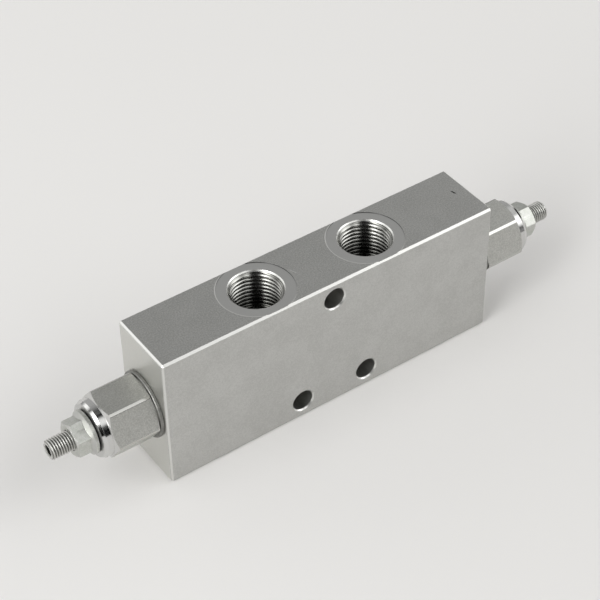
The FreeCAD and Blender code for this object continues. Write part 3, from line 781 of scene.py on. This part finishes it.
def looped_faces(rows: int, columns: int) -> list[tuple]:
    """Join rings into a closed skin, the last ring to the first, otherwise as grid_faces does."""
    count = rows * columns
    return [tuple(corner % count for corner in face) for face in grid_faces(rows + 1, columns)]


def axis_point(side: Side, along: float, radius: float, turn: float) -> Point:
    """Give a point by its place round the valve's long axis.

    Args:
        side: end of the block.
        along: distance from the middle of the block.
        radius: distance from the axis.
        turn: angle round the axis.

    Returns:
        The point in millimetres.
    """
    sign = side.value
    return sign * along, sign * radius * math.cos(turn), AXIS_HEIGHT + radius * math.sin(turn)


def closed_skin(side: Side, rings: list[list[tuple[float, float]]]) -> tuple[list[Point], list[tuple]]:
    """Join rings round the long axis into a closed skin, the last ring to the first.

    Args:
        side: end of the block.
        rings: place along the axis and radius of each point of each ring.

    Returns:
        The points, and the corner numbers of each face.
    """
    segments = len(rings[0])
    points = [axis_point(side, along, radius, FULL_TURN * k / segments)
              for ring in rings for k, (along, radius) in enumerate(ring)]
    return points, looped_faces(len(rings), segments)


def hexagon_radius(flats: float, turn: float, flat_middle: float = math.pi / 6) -> float:
    """Give the radius of a hexagon.

    Args:
        flats: width across the flats.
        turn: angle round the axis.
        flat_middle: angle of the middle of one flat.

    Returns:
        The radius at that angle.
    """
    sector = FULL_TURN / 6
    return flats / 2 / math.cos((turn - flat_middle + sector / 2) % sector - sector / 2)


def ridge(phase: float, flat: float = 0.14, rounding: float = 0.35) -> float:
    """Give the height of a rounded thread profile.

    Args:
        phase: turns along the pitch.
        flat: share of half a pitch that is flat in the root, and again on the crest.
        rounding: how far the flanks are rounded.

    Returns:
        A height from 0 in the root to 1 on the crest.
    """
    across = abs((phase % 1.0) - 0.5) * 2
    flank = min(max((across - flat) / (1 - 2 * flat), 0.0), 1.0)
    return flank * flank * (3 - 2 * flank) * rounding + flank * (1 - rounding)


@dataclass
class PortThread:
    """Thread turns in a port of the block, as a closed sleeve inside the drilled wall."""

    side: Side
    face: Face
    spacing: float
    depth: float
    major: float = 10.46
    minor: float = 9.3155
    pitch: float = 1.814
    mouth: float = 11.0
    root_wall: float = 0.02
    mouth_wall: float = 0.01
    segments: int = 96
    samples: int = 9

    def inner_radius(self, down: float, turn: float) -> float:
        """Give the radius of the thread's surface.

        Args:
            down: depth below the spot face.
            turn: angle round the port.

        Returns:
            The radius, cut back by the countersink and faded out at the last turn.
        """
        height = ridge(-down / self.pitch - turn / FULL_TURN)
        left = self.depth - SPOT_DEPTH - down
        height *= min(max(left / self.pitch, 0.0), 1.0)
        radius = self.major - self.root_wall - (self.major - self.minor) * height
        return max(radius, min(self.mouth - down, self.major - self.mouth_wall))

    def build(self) -> bpy.types.Object:
        """Build the sleeve and give it as a piece that rides on the block."""
        first = self.mouth - self.major
        last = self.depth - SPOT_DEPTH
        rows = int((last - first) / self.pitch * self.samples) + 1
        middle = self.side.value * self.spacing / 2
        top = BLOCK_HEIGHT if self.face is Face.TOP else 0.0
        turns = [FULL_TURN * k / self.segments for k in range(self.segments)]
        downs = [first + (last - first) * row / (rows - 1) for row in range(rows)]
        rings = [[(down, self.inner_radius(down, turn)) for turn in turns] for down in downs]
        rings += [[(down, self.major)] * self.segments for down in (last, first)]
        points = [(middle + radius * math.cos(turn), self.face.value * radius * math.sin(turn),
                   top - self.face.value * (SPOT_DEPTH + down))
                  for ring in rings for (down, radius), turn in zip(ring, turns)]
        faces = looped_faces(len(rings), self.segments)
        kind = "valve_port" if self.face is Face.TOP else "cylinder_port"
        return make_piece(f"{kind}_{self.side.label}_thread", points, faces, PORT_STEEL,
                          "valve_body")


@dataclass
class AdjustingScrew:
    """Adjusting screw with its real thread, inner tip and hexagon socket."""

    side: Side
    start: float = 87.25
    end: float = 115.8
    radius: float = 4.0
    pitch: float = 1.0
    thread_depth: float = 0.6134
    tip: float = 2.8
    tip_length: float = 1.5
    point: float = 3.4
    bevel: float = 0.6
    socket: float = 4.0
    socket_depth: float = 4.5
    socket_bevel: float = 0.25
    socket_cone: float = 0.8
    closing: float = 0.01
    segments: int = 72
    samples: int = 10

    def envelope(self, along: float) -> float:
        """Give the radius of the plain screw.

        Args:
            along: distance from the middle of the block.

        Returns:
            The radius that the thread is cut into.
        """
        tip_end = self.start + self.tip_length
        if along < tip_end:
            return self.tip
        cone = self.tip + along - tip_end
        slope = (self.radius - self.point) / self.bevel
        return min(self.radius, cone, self.point + (self.end - along) * slope)

    def surface(self, along: float, turn: float) -> float:
        """Give the radius of the threaded surface.

        Args:
            along: distance from the middle of the block.
            turn: angle round the axis.

        Returns:
            The radius.
        """
        height = ridge(along / self.pitch - turn / FULL_TURN)
        thread = self.radius - self.thread_depth * (1 - height)
        return min(thread, self.envelope(along))

    def build(self) -> bpy.types.Object:
        """Build the screw as one closed mesh that replaces the plain one."""
        turns = [FULL_TURN * k / self.segments for k in range(self.segments)]
        closed, tip = [self.closing] * self.segments, [self.tip] * self.segments
        socket = [hexagon_radius(self.socket, turn) for turn in turns]
        first, floor = self.start + self.tip_length, self.end - self.socket_depth
        count = int((self.end - first) / self.pitch * self.samples)
        threaded = [first + (self.end - first) * row / count for row in range(1, count + 1)]
        rings = [(self.start, closed), (self.start, tip), (first, tip)]
        rings += [(along, [self.surface(along, turn) for turn in turns]) for along in threaded]
        rings += [(self.end, [radius + self.socket_bevel for radius in socket]),
                  (self.end - self.socket_bevel, socket), (floor, socket), (floor - self.socket_cone, closed)]
        points = [axis_point(self.side, along, radius, turn)
                  for along, ring in rings for radius, turn in zip(ring, turns)]
        faces = capped_faces(len(rings), self.segments)
        name = f"adjusting_screw_{self.side.label}"
        piece = make_piece(f"{name}_threaded", points, faces, SCREW_ZINC, name)
        self.sharpen(piece, len(rings))
        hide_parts(name)
        return piece

    def sharpen(self, piece: bpy.types.Object, rows: int) -> None:
        """Mark the hard edges of the tip, the outer end and the socket.

        Args:
            piece: the screw.
            rows: number of its rings.
        """
        hard_rings = {1, 2, rows - 5, rows - 4, rows - 3, rows - 2}
        sixth = self.segments // 6
        for edge in piece.data.edges:
            low, high = sorted(edge.vertices)
            ring = low // self.segments
            round_axis = ring == high // self.segments
            socket_corner = ring >= rows - 4 and (low - high) % sixth == 0 and low % sixth == 0
            edge.use_edge_sharp = (round_axis and ring in hard_rings) or socket_corner


@dataclass
class NutSeal:
    """Rubber ring under a lock nut, with rounded edges."""

    side: Side
    start: float = 98.7
    thickness: float = 0.6
    inner: float = 4.7
    outer: float = 8.0
    corner: float = 0.2
    corner_steps: int = 3
    segments: int = 96

    def profile(self) -> list[tuple[float, float]]:
        """Give the ring's section as places along the axis and radii."""
        section = []
        low, high = self.start, self.start + self.thickness
        for along, radius, first in ((high, self.outer, 0.0), (low, self.outer, 90.0),
                                     (low, self.inner, 180.0), (high, self.inner, 270.0)):
            inward = self.corner if along == low else -self.corner
            sunk = self.corner if radius == self.inner else -self.corner
            for step in range(self.corner_steps + 1):
                turn = math.radians(first + 90.0 * step / self.corner_steps)
                section.append((along + inward + self.corner * math.cos(turn),
                                radius + sunk + self.corner * math.sin(turn)))
        return section

    def build(self) -> bpy.types.Object:
        """Build the ring as a mesh that replaces the plain one."""
        points, faces = closed_skin(self.side, [[place] * self.segments for place in self.profile()])
        name = f"nut_seal_{self.side.label}"
        piece = make_piece(f"{name}_ring", points, faces, RUBBER, "valve_body")
        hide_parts(name)
        return piece


@dataclass
class LockNut:
    """Flanged lock nut: the slope of its flange runs into the hexagon, and its outer face is bevelled."""

    side: Side
    start: float = 99.3
    end: float = 107.1
    hole: float = 4.1
    edge: float = 0.2
    flange: float = 8.7
    rim_end: float = 100.7
    slope: float = 1.8
    flats: float = 13.0
    face: float = 6.2
    bevel: float = 1.73
    left_turn: float = 56.0
    right_turn: float = 134.5
    slope_step: float = 0.06
    slope_rings: int = 21
    bevel_step: float = 0.1
    bevel_rings: int = 10
    sharp_from: float = 28.0
    segments: int = 240

    def surface(self, along: float, turn: float) -> float:
        """Give the radius of the hexagon, its flange and its bevel.

        Args:
            along: distance from the middle of the block.
            turn: angle round the axis.

        Returns:
            The radius.
        """
        flat_middle = math.radians(self.right_turn if self.side is Side.RIGHT else self.left_turn)
        hexagon = hexagon_radius(self.flats, turn, flat_middle)
        cone = self.flange - (along - self.rim_end) * self.slope
        return min(max(hexagon, cone), self.face + (self.end - along) * self.bevel)

    def build(self) -> bpy.types.Object:
        """Build the nut as one closed mesh that replaces the plain one."""
        slope = [self.rim_end + self.slope_step * step for step in range(1, self.slope_rings + 1)]
        bevel = [self.end - self.bevel_step * step for step in range(self.bevel_rings, -1, -1)]
        front = [(self.start, self.hole + self.edge), (self.start, self.flange - self.edge),
                 (self.start + self.edge, self.flange), (self.rim_end, self.flange)]
        back = [(self.end, self.hole + self.edge), (self.end - self.edge, self.hole),
                (self.start + self.edge, self.hole)]
        turns = [FULL_TURN * k / self.segments for k in range(self.segments)]
        rings = [[place] * self.segments for place in front]
        rings += [[(along, self.surface(along, turn)) for turn in turns] for along in slope + bevel]
        rings += [[place] * self.segments for place in back]
        points, faces = closed_skin(self.side, rings)
        name = f"lock_nut_{self.side.label}"
        piece = make_piece(f"{name}_flanged", points, faces, NUT_ZINC, "valve_body")
        piece.data.set_sharp_from_angle(angle=math.radians(self.sharp_from))
        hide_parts(name)
        return piece


@dataclass(frozen=True)
class Stretch:
    """Part of a spring's length, from begin to end of 1, with the joint meant to shorten it towards an
    anchor.
    """

    label: str
    joint: str
    begin: float
    end: float
    anchor: float
    keep: float


@dataclass
class CoilSpring:
    """Coil spring of round wire with ground ends."""

    name: str
    side: Side
    body: str
    stretches: tuple[Stretch, ...]
    start: float
    length: float
    radius: float
    wire: float
    turns: float
    steps: int = 40
    sides: int = 16

    def build(self) -> None:
        """Build the spring's wire, one mesh for each stretch."""
        for stretch in self.stretches:
            self.build_stretch(stretch)

    def build_stretch(self, stretch: Stretch) -> bpy.types.Object:
        """Build one stretch as a mesh that stands for the plain spring.

        Args:
            stretch: the part of the length to build.

        Returns:
            The mesh object.
        """
        points: list[Point] = []
        span = stretch.end - stretch.begin
        rings = int(self.turns * self.steps * span) + 1
        slope = math.atan2(self.length / self.turns, FULL_TURN * self.radius)
        for row in range(rings):
            share = stretch.begin + span * row / (rings - 1)
            turn = FULL_TURN * self.turns * share
            for k in range(self.sides):
                around = FULL_TURN * k / self.sides
                reach = self.radius + self.wire / 2 * math.cos(around)
                lift = self.wire / 2 * math.sin(around)
                along = self.length * share + lift * math.cos(slope)
                angle = turn - lift * math.sin(slope) / self.radius
                along = min(max(along, 0.0), self.length)
                points.append(axis_point(self.side, self.start + along, reach, angle))
        faces = capped_faces(rings, self.sides)
        node = f"{self.name}_{self.side.label}"
        piece = make_piece(f"{node}_{stretch.label}", points, faces, SPRING_STEEL, self.body)
        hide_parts(node)
        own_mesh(piece)
        return piece


@dataclass
class Block:
    """The steel block with its pilot piston and the threads of its four ports."""

    valve_port_depth: float = 19.0
    cylinder_port_depth: float = 16.0

    def build(self, nodes: dict) -> None:
        """Dress the block's nodes and cut its port threads.

        Args:
            nodes: the CAD nodes by name.
        """
        BLOCK_STEEL.dress(nodes["valve_body"])
        GROUND_STEEL.dress(nodes["pilot_piston"])
        RUBBER.dress(nodes["pilot_seal"])
        for side in Side:
            PortThread(side, Face.TOP, VALVE_PORT_SPACING, self.valve_port_depth).build()
            PortThread(side, Face.BOTTOM, CYLINDER_PORT_SPACING, self.cylinder_port_depth).build()


@dataclass
class Adjuster:
    """One pressure adjuster: bonnet, seals, poppets, springs, adjusting screw and lock nut."""

    side: Side
    plug_end: float = 65.2
    main_length: float = 18.0
    check_back: float = 53.0
    plug_start: float = 60.0
    lift_keep: float = 0.77
    slide_keep: float = 0.58
    check_keep: float = 0.64

    def build(self, nodes: dict) -> None:
        """Dress the nodes of this side and build its screw, seal ring, lock nut and springs.

        Args:
            nodes: the CAD nodes by name.
        """
        label = self.side.label
        finishes = {
            BONNET_STEEL: ("bonnet",),
            WASHER_STEEL: ("seal_washer",),
            NUT_ZINC: ("lock_nut",),
            RUBBER: ("seal_lip", "nut_seal", "poppet_seal", "spring_seat_seal"),
            GROUND_STEEL: ("main_poppet", "check_poppet", "check_plug", "spring_seat"),
            SCREW_ZINC: ("adjusting_screw",),
            SPRING_STEEL: ("main_spring", "check_spring"),
        }
        for finish, names in finishes.items():
            finish.dress(*(nodes[f"{name}_{label}"] for name in names))
        AdjustingScrew(self.side).build()
        NutSeal(self.side).build()
        LockNut(self.side).build()
        self.build_springs(label)

    def build_springs(self, label: str) -> None:
        """Build the main spring, half for each of its two joints, and the check spring.

        Args:
            label: the side's word in the names.
        """
        middle = self.plug_end + self.main_length / 2
        inner = Stretch("inner_wire", f"main_poppet_{label}_lift", begin=0.0, end=0.5,
                        anchor=middle, keep=self.lift_keep)
        outer = Stretch("outer_wire", f"spring_seat_{label}_slide", begin=0.5, end=1.0,
                        anchor=middle, keep=self.slide_keep)
        CoilSpring("main_spring", self.side, "valve_body", (inner, outer), start=self.plug_end,
                   length=self.main_length, radius=5.3, wire=2.4, turns=4.0).build()
        whole = Stretch("wire", f"check_poppet_{label}_lift", begin=0.0, end=1.0,
                        anchor=self.plug_start, keep=self.check_keep)
        CoilSpring("check_spring", self.side, f"main_poppet_{label}", (whole,), start=self.check_back,
                   length=self.plug_start - self.check_back, radius=3.55, wire=0.8, turns=3.5).build()


@dataclass(frozen=True)
class Glow:
    """A soft round patch of the studio's walls or ceiling that gives light."""

    name: str
    azimuth: float
    elevation: float
    reach: float
    light: float


ROOM = (
    Glow("left_window", -60, 40, 30, 6.7),
    Glow("left_window_foot", -62, 8, 32, 4.3),
    Glow("left_wall", -100, 42, 24, 1.4),
    Glow("left_wall_foot", -98, 12, 28, 1.3),
    Glow("front_strip", -5, 34, 22, 2.3),
    Glow("front_strip_foot", -6, 6, 22, 1.0),
    Glow("front_ceiling", 20, 56, 24, 1.2),
    Glow("right_window", 58, 32, 28, 2.5),
    Glow("right_window_foot", 52, 4, 24, 1.2),
    Glow("right_wall", 92, 37, 36, 1.0),
    Glow("back_left_wall", -140, 20, 28, 1.4),
    Glow("left_ceiling", -105, 70, 28, 1.0),
    Glow("back_wall", 165, 24, 60, 0.52),
    Glow("ceiling", 180, 88, 20, 0.8),
)


@dataclass(frozen=True)
class Screen:
    """Dark screen behind the camera, from the floor up to the ceiling's middle."""

    azimuth: float = -34.4
    inner: float = 0.26
    outer: float = 0.48
    foot: float = -0.1
    top: float = 0.05

    def shade(self, graph: Graph, way: Socket) -> Socket:
        """Give how much of the room's light is left in a direction.

        Args:
            graph: the node tree under construction.
            way: the direction.

        Returns:
            Zero on the screen and one beside it and behind the part.
        """
        ahead = graph.dot(way, tuple(heading(self.azimuth, 0.0)))
        beside = graph.dot(way, tuple(heading(self.azimuth + 90.0, 0.0)))
        strip = graph.fade(graph.math("ABSOLUTE", beside), self.inner, self.outer, 1.0, 0.0)
        return graph.rest(graph.times(strip, graph.fade(ahead, self.foot, self.top)))


@dataclass
class Studio:
    """Pale floor, the softly lit room that the metal mirrors, and the camera."""

    camera_place: Point = (-289.15, -413.64, 495.59)
    azimuth: float = -34.442
    elevation: float = 41.995
    roll: float = -1.04
    lens: float = 107.17
    floor_reach: float = 3000.0
    floor_gap: float = 0.2
    tint: Colour = (1.0, 1.0, 0.99)

    def add_camera(self) -> None:
        """Set up the camera at the photograph's place and angle."""
        back = heading(self.azimuth, self.elevation)
        right = Vector((0, 0, 1)).cross(back).normalized()
        up = back.cross(right)
        turn = math.radians(self.roll)
        across = math.cos(turn) * right + math.sin(turn) * up
        above = -math.sin(turn) * right + math.cos(turn) * up
        data = bpy.data.cameras.new("camera")
        data.lens = self.lens
        camera = bpy.data.objects.new("camera", data)
        axes = Matrix((across, above, back)).transposed().to_4x4()
        camera.matrix_world = Matrix.Translation(Vector(self.camera_place) * MM) @ axes
        bpy.context.scene.collection.objects.link(camera)
        bpy.context.scene.camera = camera

    def add_floor(self) -> None:
        """Lay the pale floor under the part."""
        mesh = bpy.data.meshes.new("floor")
        reach = self.floor_reach * MM
        level = -self.floor_gap * MM
        corners = [(-reach, -reach, level), (reach, -reach, level), (reach, reach, level),
                   (-reach, reach, level)]
        mesh.from_pydata(corners, [], [(0, 1, 2, 3)])
        floor = bpy.data.objects.new("floor", mesh)
        bpy.context.scene.collection.objects.link(floor)
        Paper().dress(floor)

    def add_room(self) -> None:
        """Light the room round the part with soft patches that run into each other."""
        world = bpy.data.worlds.new("room")
        bpy.context.scene.world = world
        world.use_nodes = True
        graph = Graph(world.node_tree)
        way = graph.add("ShaderNodeTexCoord").outputs["Generated"]
        light: Value = 0.0
        for glow in ROOM:
            near = graph.dot(way, tuple(heading(glow.azimuth, glow.elevation)))
            near.node.label = glow.name
            share = graph.fade(near, math.cos(math.radians(glow.reach)), 1.0)
            light = graph.math("MULTIPLY_ADD", share, glow.light, light)
        light = graph.times(light, Screen().shade(graph, way))
        background = graph.add("ShaderNodeBackground", {"Color": (*self.tint, 1.0), "Strength": light})
        graph.add("ShaderNodeOutputWorld", {"Surface": background.outputs[0]})

    def build(self) -> None:
        """Build the whole studio."""
        self.add_camera()
        self.add_floor()
        self.add_room()
        bpy.context.scene.view_settings.view_transform = "Standard"


def main() -> None:
    """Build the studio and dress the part."""
    logging.basicConfig(level=logging.INFO, format="%(name)s: %(message)s")
    nodes = frame["nodes"]
    Studio().build()
    Block().build(nodes)
    for side in Side:
        Adjuster(side).build(nodes)


if __name__ == "__main__":
    main()
